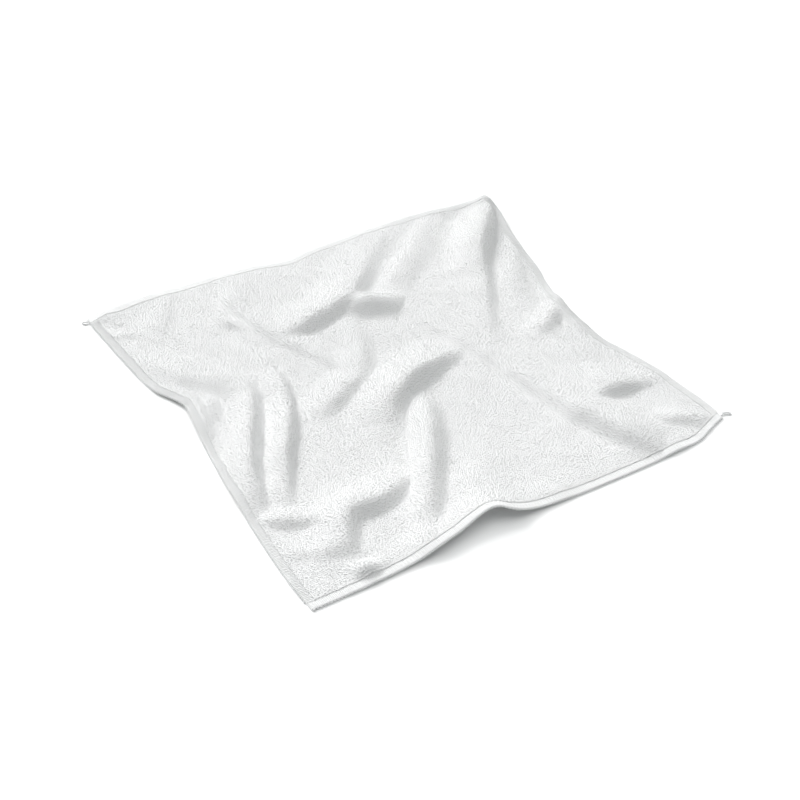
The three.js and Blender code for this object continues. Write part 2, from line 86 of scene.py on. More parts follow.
# the outline seen from above, corner to corner, as shares of half the side
outline = {
    "front": [
        (-0.98, -1.005), (-0.875, -1.005), (-0.76, -1.005), (-0.635, -1.0), (-0.535, -0.995), (-0.465, -0.99),
        (-0.38, -0.975), (-0.285, -0.955), (-0.235, -0.95), (-0.195, -0.955), (-0.16, -0.975), (-0.12, -0.985),
        (-0.05, -0.99), (0.05, -0.995), (0.22, -1.0), (0.455, -1.0), (0.6, -0.995), (0.7, -0.99), (0.76, -0.97),
        (0.82, -0.945), (0.88, -0.925),
    ],
    "right": [
        (0.88, -0.925), (0.882, -0.87), (0.88, -0.775), (0.862, -0.562), (0.845, -0.455), (0.82, -0.34),
        (0.797, -0.24), (0.792, -0.11), (0.79, 0), (0.802, 0.085), (0.845, 0.2), (0.885, 0.31), (0.91, 0.42),
        (0.935, 0.535), (0.957, 0.645), (0.98, 0.725), (0.992, 0.79), (0.993, 0.845), (0.982, 0.888),
    ],
    "back": [
        (-0.995, 0.98), (-0.94, 0.99), (-0.83, 1.0), (-0.7, 1.01), (-0.35, 1.01), (-0.2, 0.995), (-0.05, 0.96),
        (0.1, 0.985), (0.3, 0.995), (0.58, 1.0), (0.68, 0.985), (0.78, 0.96), (0.87, 0.93), (0.94, 0.905),
        (0.982, 0.888),
    ],
    "left": [
        (-0.98, -1.005), (-0.985, -0.85), (-0.975, -0.62), (-0.963, -0.45), (-0.952, -0.3), (-0.935, -0.15),
        (-0.917, 0), (-0.897, 0.125), (-0.888, 0.21), (-0.912, 0.285), (-0.944, 0.355), (-0.957, 0.42),
        (-0.966, 0.5), (-0.977, 0.66), (-0.987, 0.85), (-0.995, 0.98),
    ],
}

# main folds: crest points (x, y, height) and how far the flanks reach left and right of the crest
mainFolds = {
    "leftEdgeOuter": ([(-0.61, 0.22, 0.15), (-0.65, 0.12, 0.4), (-0.705, 0, 0.57), (-0.765, -0.115, 0.63),
                       (-0.82, -0.22, 0.62), (-0.86, -0.32, 0.52), (-0.885, -0.41, 0.34), (-0.9, -0.48, 0.12),
                       (-0.905, -0.52, 0.02)], 0.055, 0.11),
    "leftEdgeInner": ([(-0.54, 0.49, 0.05), (-0.5, 0.4, 0.12), (-0.49, 0.27, 0.2), (-0.5, 0.15, 0.26),
                       (-0.53, 0.04, 0.34), (-0.575, -0.065, 0.46), (-0.63, -0.17, 0.53), (-0.69, -0.265, 0.5),
                       (-0.74, -0.36, 0.38), (-0.78, -0.435, 0.22), (-0.81, -0.5, 0.1), (-0.83, -0.545, 0.02)],
                      0.042, 0.11),
    "backLeftRise": ([(-0.91, 0.72, 0.04), (-0.89, 0.6, 0.12), (-0.86, 0.485, 0.2), (-0.815, 0.395, 0.24),
                      (-0.755, 0.33, 0.25), (-0.695, 0.255, 0.27), (-0.65, 0.185, 0.28), (-0.62, 0.15, 0.19)],
                     0.16, 0.1),
    "leftEdgeRoll": ([(-0.865, 0.31, 0.06), (-0.855, 0.24, 0.2), (-0.85, 0.175, 0.27), (-0.865, 0.105, 0.27),
                      (-0.885, 0.03, 0.19), (-0.9, -0.04, 0.06)], 0.045, 0.055),
    "leftEdgeRollInner": ([(-0.785, 0.215, 0.06), (-0.8, 0.165, 0.15), (-0.82, 0.12, 0.16), (-0.86, 0.06, 0.08)],
                          0.05, 0.055),
    "backLeftShort": ([(-0.64, 0.955, 0.06), (-0.69, 0.87, 0.13), (-0.745, 0.775, 0.14), (-0.79, 0.7, 0.05)],
                      0.06, 0.1),
    "backLeftSwell": ([(-0.99, 0.975, 0.03), (-0.93, 0.99, 0.1), (-0.83, 1.0, 0.13), (-0.74, 1.005, 0.1),
                       (-0.64, 1.01, 0.04)], 0.1, 0.12),
    "backEdgeLow": ([(-0.38, 0.9, 0.08), (-0.42, 0.8, 0.24), (-0.42, 0.715, 0.25), (-0.41, 0.62, 0.25),
                     (-0.393, 0.52, 0.24), (-0.365, 0.41, 0.22), (-0.32, 0.315, 0.18), (-0.273, 0.215, 0.12),
                     (-0.227, 0.105, 0.04)], 0.14, 0.045),
    "backEdgeSpot": ([(-0.505, 0.72, 0.06), (-0.5, 0.645, 0.15), (-0.467, 0.6, 0.14), (-0.44, 0.54, 0.06)],
                     0.05, 0.04),
    "bentBehindMiddle": ([(0.565, 1.03, 0.03), (0.457, 0.957, 0.09), (0.338, 0.845, 0.18), (0.215, 0.723, 0.29),
                          (0.123, 0.625, 0.42), (0.03, 0.532, 0.55), (-0.063, 0.489, 0.56), (-0.154, 0.465, 0.53),
                          (-0.248, 0.451, 0.43), (-0.323, 0.453, 0.26), (-0.39, 0.469, 0.08)], 0.08, 0.2),
    "knuckle": ([(-0.01, 0.475, 0.32), (0.022, 0.466, 0.52), (0.067, 0.446, 0.62), (0.118, 0.421, 0.57),
                 (0.165, 0.392, 0.42), (0.2, 0.358, 0.1)], 0.13, 0.1),
    "besideKnuckle": ([(0.72, 0.96, 0.1), (0.62, 0.87, 0.2), (0.52, 0.78, 0.22), (0.42, 0.69, 0.22),
                       (0.305, 0.59, 0.2), (0.2, 0.49, 0.05)], 0.13, 0.07),
    "backRightLong": ([(0.982, 0.885, 0.38), (0.935, 0.805, 0.6), (0.88, 0.728, 0.82), (0.82, 0.653, 0.9),
                       (0.743, 0.565, 0.82), (0.675, 0.47, 0.56), (0.625, 0.37, 0.36), (0.555, 0.25, 0.27),
                       (0.476, 0.127, 0.22), (0.412, 0.008, 0.16), (0.35, -0.106, 0.08)], 0.062, 0.18),
    "backRightSwell": ([(0.982, 0.885, 0.46), (0.88, 0.94, 0.36), (0.77, 0.965, 0.24), (0.66, 0.985, 0.12)],
                       0.12, 0.16),
    "backRightSide": ([(0.982, 0.885, 0.46), (0.995, 0.835, 0.46), (0.995, 0.78, 0.38), (0.985, 0.72, 0.25),
                       (0.96, 0.64, 0.13), (0.935, 0.53, 0.03)], 0.09, 0.1),
    "rightEdgeLow": ([(0.9, 0.58, 0.06), (0.85, 0.465, 0.17), (0.8, 0.37, 0.16), (0.745, 0.27, 0.13),
                      (0.69, 0.104, 0.08), (0.657, 0, 0.04)], 0.06, 0.11),
    "rightEdgeBump": ([(0.8, 0.03, 0.26), (0.745, 0.0, 0.34), (0.685, -0.045, 0.35), (0.625, -0.085, 0.3),
                       (0.578, -0.11, 0.14)], 0.075, 0.1),
    "rightEdgeRim": ([(0.86, 0.2, 0.05), (0.815, 0.11, 0.26), (0.79, 0.04, 0.4), (0.775, -0.04, 0.36),
                      (0.77, -0.12, 0.24), (0.775, -0.2, 0.12), (0.79, -0.27, 0.03)], 0.06, 0.07),
    "frontRightCross": ([(0.505, -0.546, 0.08), (0.553, -0.568, 0.32), (0.61, -0.58, 0.43), (0.675, -0.585, 0.36),
                         (0.735, -0.59, 0.18), (0.79, -0.6, 0.04)], 0.22, 0.058),
    "frontRightLong": ([(0.2, 0.3, 0.05), (0.26, 0.11, 0.15), (0.32, -0.1, 0.21), (0.362, -0.34, 0.26),
                        (0.392, -0.517, 0.38), (0.409, -0.624, 0.5), (0.437, -0.715, 0.55), (0.462, -0.8, 0.54),
                        (0.49, -0.87, 0.42), (0.52, -0.925, 0.24), (0.55, -0.965, 0.06)], 0.21, 0.07),
    "middleShort": ([(-0.03, 0.448, 0.08), (-0.065, 0.323, 0.18), (-0.105, 0.211, 0.25), (-0.157, 0.104, 0.29),
                     (-0.218, 0.029, 0.3), (-0.305, -0.019, 0.29), (-0.387, -0.061, 0.25), (-0.452, -0.088, 0.17),
                     (-0.497, -0.113, 0.06)], 0.08, 0.14),
    "middleAcross": ([(0.235, -0.015, 0.08), (0.17, -0.04, 0.3), (0.08, -0.071, 0.52), (-0.02, -0.107, 0.64),
                      (-0.11, -0.154, 0.65), (-0.186, -0.205, 0.54), (-0.231, -0.259, 0.33), (-0.263, -0.312, 0.12)],
                     0.07, 0.2),
    "middleToFront": ([(-0.075, -0.185, 0.1), (-0.097, -0.293, 0.32), (-0.147, -0.402, 0.46), (-0.211, -0.512, 0.52),
                       (-0.273, -0.61, 0.5), (-0.334, -0.702, 0.43), (-0.406, -0.813, 0.31), (-0.473, -0.913, 0.18),
                       (-0.525, -0.985, 0.08)], 0.088, 0.09),
    "frontLift": ([(-0.21, -0.97, 0.4), (-0.195, -0.88, 0.36), (-0.165, -0.78, 0.24), (-0.11, -0.66, 0.08)],
                  0.2, 0.22),
    "frontEdgeSwell": ([(-0.78, -1.0, 0.02), (-0.635, -0.99, 0.06), (-0.535, -0.99, 0.17), (-0.465, -0.98, 0.28),
                        (-0.38, -0.97, 0.37), (-0.285, -0.955, 0.48), (-0.215, -0.955, 0.53), (-0.15, -0.97, 0.38),
                        (-0.09, -0.985, 0.19), (-0.02, -0.99, 0.08), (0.1, -0.99, 0.02)], 0.17, 0.1),
    "frontLeftBent": ([(-0.32, -0.57, 0.05), (-0.385, -0.607, 0.2), (-0.465, -0.647, 0.36), (-0.552, -0.67, 0.47),
                       (-0.623, -0.667, 0.52), (-0.672, -0.69, 0.53), (-0.71, -0.75, 0.48), (-0.742, -0.805, 0.36),
                       (-0.762, -0.857, 0.12)], 0.064, 0.17),
    "leftEdgeLift": ([(-0.96, 0.44, 0.03), (-0.935, 0.34, 0.1), (-0.91, 0.25, 0.14), (-0.9, 0.18, 0.14),
                      (-0.905, 0.1, 0.08), (-0.915, 0.02, 0.02)], 0.11, 0.12),
    "leftEdgeSmall": ([(-0.93, -0.51, 0.03), (-0.905, -0.545, 0.18), (-0.87, -0.58, 0.28), (-0.815, -0.615, 0.29),
                       (-0.758, -0.643, 0.24), (-0.713, -0.663, 0.1)], 0.1, 0.05),
    "leftEdgeFront": ([(-0.92, -0.735, 0.05), (-0.863, -0.763, 0.11), (-0.813, -0.794, 0.14), (-0.765, -0.829, 0.12),
                       (-0.727, -0.851, 0.05)], 0.08, 0.05),
    "frontLeftDimple": ([(-0.785, -0.885, 0.05), (-0.765, -0.92, 0.22), (-0.742, -0.94, 0.35), (-0.71, -0.945, 0.28),
                         (-0.675, -0.935, 0.07)], 0.06, 0.05),
    "frontRightSmall": ([(0.65, -0.762, 0.05), (0.684, -0.82, 0.16), (0.729, -0.855, 0.2), (0.78, -0.88, 0.15),
                         (0.83, -0.895, 0.04)], 0.08, 0.05),
    "rightSwell": ([(0.62, -0.1, 0.15), (0.6, -0.3, 0.2), (0.59, -0.5, 0.28)], 0.17, 0.17),
}

# small creases and ridges that are added to the main folds; a height below zero is a crease
smallFolds = {
    "innerCrease": ([(-0.5, 0.01, -0.04), (-0.505, -0.18, -0.09), (-0.497, -0.35, -0.09), (-0.495, -0.53, -0.04)],
                    0.025, 0.025),
    "backLeftCrease": ([(-0.86, 0.72, -0.03), (-0.8, 0.62, -0.05), (-0.76, 0.53, -0.05), (-0.72, 0.42, -0.04),
                        (-0.69, 0.36, -0.02)], 0.02, 0.02),
    "cornerRidge": ([(-0.935, 0.98, 0.03), (-0.915, 0.93, 0.09), (-0.9, 0.87, 0.09), (-0.885, 0.82, 0.03)],
                    0.05, 0.03),
    "cornerRidgeLow": ([(-0.96, 0.84, 0.05), (-0.94, 0.8, 0.08), (-0.905, 0.775, 0.08), (-0.87, 0.76, 0.04)],
                       0.05, 0.03),
}

undulation = {
    "waves": 14,              # soft unevenness of a limp fabric
    "longest": 0.060,
    "shortest": 0.014,
    "height": 0.00022,
    "bend": 1.3,              # how far a wave's crests stray from straight
    "bendRate": 0.37,         # how often, as a share of the wave's own rate
    "seed": 11,
}


def smoothLine(points, steps):
    p = np.array(points, float)
    p = np.vstack([2 * p[0] - p[1], p, 2 * p[-1] - p[-2]])
    t = (np.arange(steps) / steps)[:, None]
    runs = []
    for a, b, c, d in zip(p, p[1:], p[2:], p[3:]):
        runs.append(b + ((c - a) * t + (2 * a - 5 * b + 4 * c - d) * t ** 2 + (3 * b - a - 3 * c + d) * t ** 3) / 2)
    return np.vstack(runs + [p[-2][None]])


def measured(line):           # the line with its length so far, as a share of the whole
    run = np.concatenate([[0], np.cumsum(np.linalg.norm(np.diff(line, axis=0), axis=1))])
    return run / run[-1], line


edgeLines = {name: measured(smoothLine(points, clothSize["edgeSteps"]) * half) for name, points in outline.items()}


def alongEdge(name, share):
    run, line = edgeLines[name]
    return np.stack([np.interp(share, run, line[:, 0]), np.interp(share, run, line[:, 1])], -1)


def placeOnTable(across, up):         # from shares of the flat cloth to a place over the table
    across, up = np.clip(across, 0, 1), np.clip(up, 0, 1)
    u, v = across[..., None], up[..., None]
    place = (1 - v) * alongEdge("front", across) + v * alongEdge("back", across)
    place += (1 - u) * alongEdge("left", up) + u * alongEdge("right", up)
    frontLeft, frontRight = edgeLines["front"][1][0], edgeLines["front"][1][-1]
    backLeft, backRight = edgeLines["back"][1][0], edgeLines["back"][1][-1]
    place -= (1 - u) * (1 - v) * frontLeft + u * (1 - v) * frontRight
    place -= (1 - u) * v * backLeft + u * v * backRight
    return place


def foldLine(fold):
    crest, leftShare, rightShare = fold
    line = smoothLine(crest, clothSize["lineSteps"])
    line[:, :2] *= half
    line[:, 2] *= clothSize["tallestFold"]
    reach = clothSize["footReach"] * half
    return line, leftShare * reach, rightShare * reach


def foldHeight(fold, x, y):           # a crest's height, rounded down to nothing at the end of its flank
    line, leftReach, rightReach = foldLine(fold)
    reach = max(leftReach, rightReach)
    low, high = line[:, :2].min(0) - reach, line[:, :2].max(0) + reach
    near = (x > low[0]) & (x < high[0]) & (y > low[1]) & (y < high[1])
    px, py = x[near], y[near]
    nearest, height = np.full(px.shape, np.inf), np.zeros(px.shape)
    for start, end in zip(line, line[1:]):
        length = math.hypot(*(end - start)[:2])
        alongX, alongY = (end - start)[:2] / length
        share = np.clip(((px - start[0]) * alongX + (py - start[1]) * alongY) / length, 0, 1)
        offX, offY = px - start[0] - share * length * alongX, py - start[1] - share * length * alongY
        distance = np.hypot(offX, offY)
        leftness = (alongX * offY - alongY * offX) / np.maximum(distance, 1e-9)
        flank = (leftReach + rightReach + leftness * (leftReach - rightReach)) / 2
        rounded = ((1 + np.cos(np.pi * np.minimum(distance / flank, 1))) / 2) ** clothSize["footSoftness"]
        closer = distance < nearest
        height = np.where(closer, (start[2] + (end[2] - start[2]) * share) * rounded, height)
        nearest = np.minimum(nearest, distance)
    heights = np.zeros(x.shape)
    heights[near] = height
    return heights


def unevenness(x, y):
    chance = np.random.default_rng(undulation["seed"])
    total = np.zeros(x.shape)
    for _ in range(undulation["waves"]):
        wave = math.exp(chance.uniform(math.log(undulation["shortest"]), math.log(undulation["longest"])))
        turn, phase = chance.uniform(0, 2 * math.pi, 2)
        run = (x * math.cos(turn) + y * math.sin(turn)) * 2 * math.pi / wave
        bend = undulation["bend"] * np.sin(run * undulation["bendRate"] + 2 * phase)
        total += np.sin(run + phase + bend) * wave / undulation["longest"]
    return total * undulation["height"]


def heightAt(x, y):                   # height of the fabric's underside over the table
    power = clothSize["foldBlend"]
    total = sum(np.maximum(foldHeight(fold, x, y), 0) ** power for fold in mainFolds.values()) ** (1 / power)
    for fold in smallFolds.values():
        total += foldHeight(fold, x, y)
    return np.maximum(total + unevenness(x, y), 0)


shift = np.array([0.0052, -0.0006])   # from the outline's own centre to the frame's origin


def fromEdge(across, up):             # metres of flat cloth to the nearest raw edge
    return np.minimum(np.minimum(across, 1 - across), np.minimum(up, 1 - up)) * clothSize["side"]


def pressedDip(across, up):
    share = np.clip((clothSize["seamWidth"] + clothSize["taper"] - fromEdge(across, up)) / clothSize["taper"], 0, 1)
    return clothSize["edgeDip"] * share ** 2 * (3 - 2 * share)


def middleAt(across, up):             # the middle of the fabric, in the part's own frame
    across, up = np.asarray(across, float), np.asarray(up, float)
    place = placeOnTable(across, up)
    z = heightAt(place[..., 0], place[..., 1]) + clothSize["thickness"] / 2 - pressedDip(across, up)
    return np.concatenate([place + shift, z[..., None]], -1)


def surfaceAt(across, up, rise=0.0):  # a point off the middle along the fabric's normal
    across, up = np.asarray(across, float), np.asarray(up, float)
    step = clothSize["normalStep"] / clothSize["side"]
    u, v = np.clip(across, step, 1 - step), np.clip(up, step, 1 - step)
    alongU = middleAt(u + step, v) - middleAt(u - step, v)
    alongV = middleAt(u, v + step) - middleAt(u, v - step)
    normal = np.cross(alongU, alongV)
    normal /= np.linalg.norm(normal, axis=-1, keepdims=True)
    point = middleAt(across, up)
    # past the raw edge the fabric is carried on straight
    point += (across - np.clip(across, 0, 1))[..., None] * alongU / (2 * step)
    point += (up - np.clip(up, 0, 1))[..., None] * alongV / (2 * step)
    return point + normal * np.asarray(rise)[..., None]


# nodes and finishes

def addNode(tree, kind, settings=None, **values):
    node = tree.nodes.new(kind)
    for name, value in (settings or {}).items():
        setattr(node, name, value)
    for name, value in values.items():
        node.inputs[name.replace("_", " ")].default_value = value
    return node


def newGroup(name, kind, inputs, outputs):
    tree = bpy.data.node_groups.new(name, kind)
    for side, sockets in (("INPUT", inputs), ("OUTPUT", outputs)):
        for label, socketKind in sockets:
            tree.interface.new_socket(label, in_out=side, socket_type=f"NodeSocket{socketKind}")
    return tree, tree.nodes.new("NodeGroupInput"), tree.nodes.new("NodeGroupOutput")


fibre = {
    "detail": 3.0,
    "roughness": 0.6,
    "strandDetail": 1.0,
    "strandRoughness": 0.5,
    "strandBend": 0.4,
    "strandStretch": (1.0, 0.35, 1.0),     # below one, longer strands along that axis
    "contrast": 0.5,
    "leastRough": 0.86,
    "mostRough": 1.0,
    "sheenRoughness": 0.5,
}


def fibreGroup():             # fine fibres: a little light and dark, and a height for the bump
    tree, source, result = newGroup(
        "fibreGrain", "ShaderNodeTree",
        [("Vector", "Vector"), ("Fineness", "Float"), ("Pale", "Color"), ("Deep", "Color"), ("Shade", "Float")],
        [("Color", "Color"), ("Height", "Float"), ("Roughness", "Float")])
    noise = addNode(tree, "ShaderNodeTexNoise", Detail=fibre["detail"], Roughness=fibre["roughness"])
    strands = addNode(tree, "ShaderNodeTexNoise", Detail=fibre["strandDetail"], Roughness=fibre["strandRoughness"],
                      Distortion=fibre["strandBend"])
    stretch = addNode(tree, "ShaderNodeVectorMath", {"operation": "MULTIPLY"})
    stretch.inputs[1].default_value = fibre["strandStretch"]
    spread = addNode(tree, "ShaderNodeMath", {"operation": "MULTIPLY_ADD"})
    spread.inputs[1].default_value = fibre["contrast"]
    mix = addNode(tree, "ShaderNodeMix", {"data_type": "RGBA"})     # its colours are inputs 6 and 7 and output 2
    rough = addNode(tree, "ShaderNodeMapRange", To_Min=fibre["leastRough"], To_Max=fibre["mostRough"])
    link = tree.links.new
    link(source.outputs["Vector"], noise.inputs["Vector"])
    link(source.outputs["Fineness"], noise.inputs["Scale"])
    link(source.outputs["Vector"], stretch.inputs[0])
    link(stretch.outputs[0], strands.inputs["Vector"])
    link(source.outputs["Fineness"], strands.inputs["Scale"])
    link(noise.outputs[0], spread.inputs[0])
    link(source.outputs["Shade"], spread.inputs[2])
    link(spread.outputs[0], mix.inputs["Factor"])
    link(source.outputs["Pale"], mix.inputs[6])
    link(source.outputs["Deep"], mix.inputs[7])
    link(noise.outputs[0], rough.inputs["Value"])
    link(mix.outputs[2], result.inputs["Color"])
    link(strands.outputs[0], result.inputs["Height"])
    link(rough.outputs[0], result.inputs["Roughness"])
    return tree


fibreGrain = fibreGroup()


def fabricMaterial(name, look):
    material = bpy.data.materials.new(name)
    material.use_nodes = True
    tree = material.node_tree
    tree.nodes.clear()
    link = tree.links.new
    shader = addNode(tree, "ShaderNodeBsdfPrincipled", Sheen_Weight=look["sheen"],
                     Sheen_Roughness=fibre["sheenRoughness"], Specular_IOR_Level=look["specular"],
                     Subsurface_Weight=look["softness"], Subsurface_Radius=(1.0, 1.0, 1.0),
                     Subsurface_Scale=look["softDepth"])
    output = addNode(tree, "ShaderNodeOutputMaterial")
    place = addNode(tree, "ShaderNodeTexCoord")
    grain = addNode(tree, "ShaderNodeGroup", {"node_tree": fibreGrain}, Fineness=look["fineness"],
                    Pale=look["pale"], Deep=look["deep"])
    mottle = addNode(tree, "ShaderNodeTexNoise", Scale=look["mottleScale"], Detail=fibre["detail"])
    shade = addNode(tree, "ShaderNodeMath", {"operation": "MULTIPLY_ADD"})
    shade.inputs[1].default_value, shade.inputs[2].default_value = look["mottle"], look["shade"] - look["mottle"] / 2
    own = addNode(tree, "ShaderNodeAttribute", {"attribute_name": "loopShade"})
    ownShare = addNode(tree, "ShaderNodeMath", {"operation": "MULTIPLY_ADD"})
    ownShare.inputs[1].default_value = look["ownShade"]
    bump = addNode(tree, "ShaderNodeBump", Strength=look["bump"], Distance=look["bumpDistance"])
    link(place.outputs["Object"], grain.inputs["Vector"])
    link(place.outputs["Object"], mottle.inputs["Vector"])
    link(mottle.outputs[0], shade.inputs[0])
    link(own.outputs["Fac"], ownShare.inputs[0])
    link(shade.outputs[0], ownShare.inputs[2])
    link(ownShare.outputs[0], grain.inputs["Shade"])
    link(grain.outputs["Color"], shader.inputs["Base Color"])
    link(grain.outputs["Roughness"], shader.inputs["Roughness"])
    link(grain.outputs["Height"], bump.inputs["Height"])
    link(bump.outputs["Normal"], shader.inputs["Normal"])
    link(shader.outputs[0], output.inputs["Surface"])
    return material


terryLook = {
    "pale": (0.97, 0.975, 0.973, 1), "deep": (0.85, 0.862, 0.862, 1), "fineness": 2600.0, "shade": -0.25,
    "mottle": 0.2, "mottleScale": 60.0, "ownShade": 0.4, "sheen": 0.2, "specular": 0.2, "bump": 0.4,
    "bumpDistance": 0.0003, "softness": 1.0, "softDepth": 0.0004,
}
threadLook = {
    "pale": (0.975, 0.978, 0.975, 1), "deep": (0.93, 0.936, 0.934, 1), "fineness": 3200.0, "shade": -0.2,
    "mottle": 0.15, "mottleScale": 90.0, "ownShade": 0.1, "sheen": 0.2, "specular": 0.25, "bump": 0.3,
    "bumpDistance": 0.0002, "softness": 1.0, "softDepth": 0.0001,
}
terryFinish = fabricMaterial("whiteTerry", terryLook)
threadFinish = fabricMaterial("whiteSeamThread", threadLook)
report("finishes")


# helpers for pieces

def newPiece(name, mesh, material, slot, *nodes):
    piece = bpy.data.objects.new(name, mesh)
    bpy.context.scene.collection.objects.link(piece)
    if material:
        piece.data.materials.append(material)
    if slot:
        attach(piece, "root")
        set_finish(piece, slot)
    if nodes:
        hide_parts(*nodes)
    return piece


def meshFrom(bm, name):
    mesh = bpy.data.meshes.new(name)
    bm.to_mesh(mesh)
    bm.free()
    return mesh


def flatGrid(name, columns, rows, turned=False):       # a grid, with each point's column and row as shares
    bm = bmesh.new()
    bmesh.ops.create_grid(bm, x_segments=columns - 1, y_segments=rows - 1, size=0.5)
    if turned:
        bmesh.ops.reverse_faces(bm, faces=bm.faces)
    mesh = meshFrom(bm, name)
    flat = np.empty(len(mesh.vertices) * 3)
    mesh.vertices.foreach_get("co", flat)
    column, row = (flat.reshape(-1, 3)[:, :2] + 0.5).T
    return mesh, column, row


def layOnCloth(mesh, across, up, rise=0.0):   # keeps each point's place on the flat cloth as an attribute
    mesh.vertices.foreach_set("co", surfaceAt(across, up, rise).ravel())
    place = mesh.attributes.new("clothPlace", "FLOAT_VECTOR", "POINT")
    place.data.foreach_set("vector", np.stack([across, up, np.zeros(len(up))], -1).ravel())
    mesh.update()


def applyModifiers(piece):
    bpy.context.view_layer.objects.active = piece
    for modifier in list(piece.modifiers):
        bpy.ops.object.modifier_apply(modifier=modifier.name)


# ground knit

groundKnit = {
    "thickness": 0.0018,
    "pressedShare": 0.7,      # of that thickness under the seam
    "marginLines": (0, 0.0012, 0.003, 0.005, 0.0064, 0.0073, 0.009),     # metres in from the raw edge
    "innerCells": 156,
}


def sheetLines():
    side = clothSize["side"]
    margin = np.array(groundKnit["marginLines"])
    edge = clothSize["seamWidth"] + clothSize["taper"]
    inner = np.linspace(edge, side - edge, groundKnit["innerCells"] + 1)
    return np.concatenate([margin, inner, side - margin[::-1]]) / side


def groundSheet():
    lines = sheetLines()
    mesh, column, row = flatGrid("ground_knit", len(lines), len(lines))
    shares = np.linspace(0, 1, len(lines))
    across, up = np.interp(column, shares, lines), np.interp(row, shares, lines)
    layOnCloth(mesh, across, up)
    corner = np.empty(len(mesh.loops), int)
    mesh.loops.foreach_get("vertex_index", corner)
    mesh.uv_layers.new(name="OFBake").data.foreach_set("uv", np.stack([across, up], -1)[corner].ravel())
    sheet = newPiece("ground_knit", mesh, terryFinish, "terry_fabric", "cloth_panel")
    body = sheet.vertex_groups.new(name="body")
    body.add(np.flatnonzero(fromEdge(across, up) > clothSize["seamWidth"]).tolist(), 1.0, "REPLACE")
    wall = sheet.modifiers.new("thickness", "SOLIDIFY")
    wall.vertex_group, wall.thickness_vertex_group = body.name, groundKnit["pressedShare"]
    wall.thickness, wall.offset = groundKnit["thickness"], 0
    applyModifiers(sheet)
    sheet.data.polygons.foreach_set("use_smooth", [True] * len(sheet.data.polygons))
    return sheet


ground = groundSheet()
report("ground knit")


# pile of yarn loops

pile = {
    "pitch": 0.00165,         # between loops
    "jitter": 0.3,            # share of the pitch
    "clear": 0.0060,          # where the pile starts, in from the raw edge
    "undersideClear": 0.0098,
    "rowShift": 0.5,          # every second row, share of the pitch
    "yarn": 0.00036,          # radius of the fluffy yarn
    "yarnSides": 3,
    "loopSteps": 3,
    "width": 0.00042,         # half the span of a loop
    "height": 0.00045,
    "shapes": [(0.0, 0.3), (0.35, 0.8), (-0.35, -0.6), (0.2, -1.0)],       # lean and twist of each loop shape
    "turn": 2.6,              # how far a loop turns from its row, radians
    "tilt": 0.35,
    "sizeLow": 0.85,
    "sizeHigh": 1.2,
    "strips": 6,
    "undersideStrips": 3,
    "undersidePitch": 0.0030,
    "sink": 0.0002,           # how deep a loop's feet sit in the ground knit
    "undersideSink": 0.00055, # how much deeper the underside loops sit
    "seed": 5,
    "undersideSeed": 205,
    "seedStep": 10,           # from strip to strip
}


def yarnLoop(name, lean, twist):      # one arch of yarn, closed, with its feet in the ground
    bm = bmesh.new()
    ring = bmesh.ops.create_circle(bm, segments=pile["yarnSides"], radius=pile["yarn"])["verts"]
    bmesh.ops.translate(bm, verts=ring, vec=(-pile["width"], 0, 0))
    bmesh.ops.spin(bm, geom=list({edge for vert in ring for edge in vert.link_edges}) + ring, cent=(0, 0, 0),
                   axis=(0, 1, 0), angle=math.pi, steps=pile["loopSteps"], use_merge=False)
    bmesh.ops.holes_fill(bm, edges=[edge for edge in bm.edges if edge.is_boundary], sides=0)
    bmesh.ops.scale(bm, verts=bm.verts, vec=(1, 1, pile["height"] / pile["width"]))
    for vert in bm.verts:
        share = vert.co.z / pile["height"]
        vert.co = Matrix.Rotation(twist * share, 3, "Z") @ vert.co + Vector((0, lean * vert.co.z, 0))
    bmesh.ops.recalc_face_normals(bm, faces=bm.faces)
    return meshFrom(bm, name)


def loopCollection(name):
    shapes = bpy.data.collections.new(name)
    for number, (lean, twist) in enumerate(pile["shapes"]):
        loop = bpy.data.objects.new(f"{name}_{number}", yarnLoop(f"{name}_{number}", lean, twist))
        loop.data.materials.append(terryFinish)
        loop.data.polygons.foreach_set("use_smooth", [True] * len(loop.data.polygons))
        shapes.objects.link(loop)
    return shapes


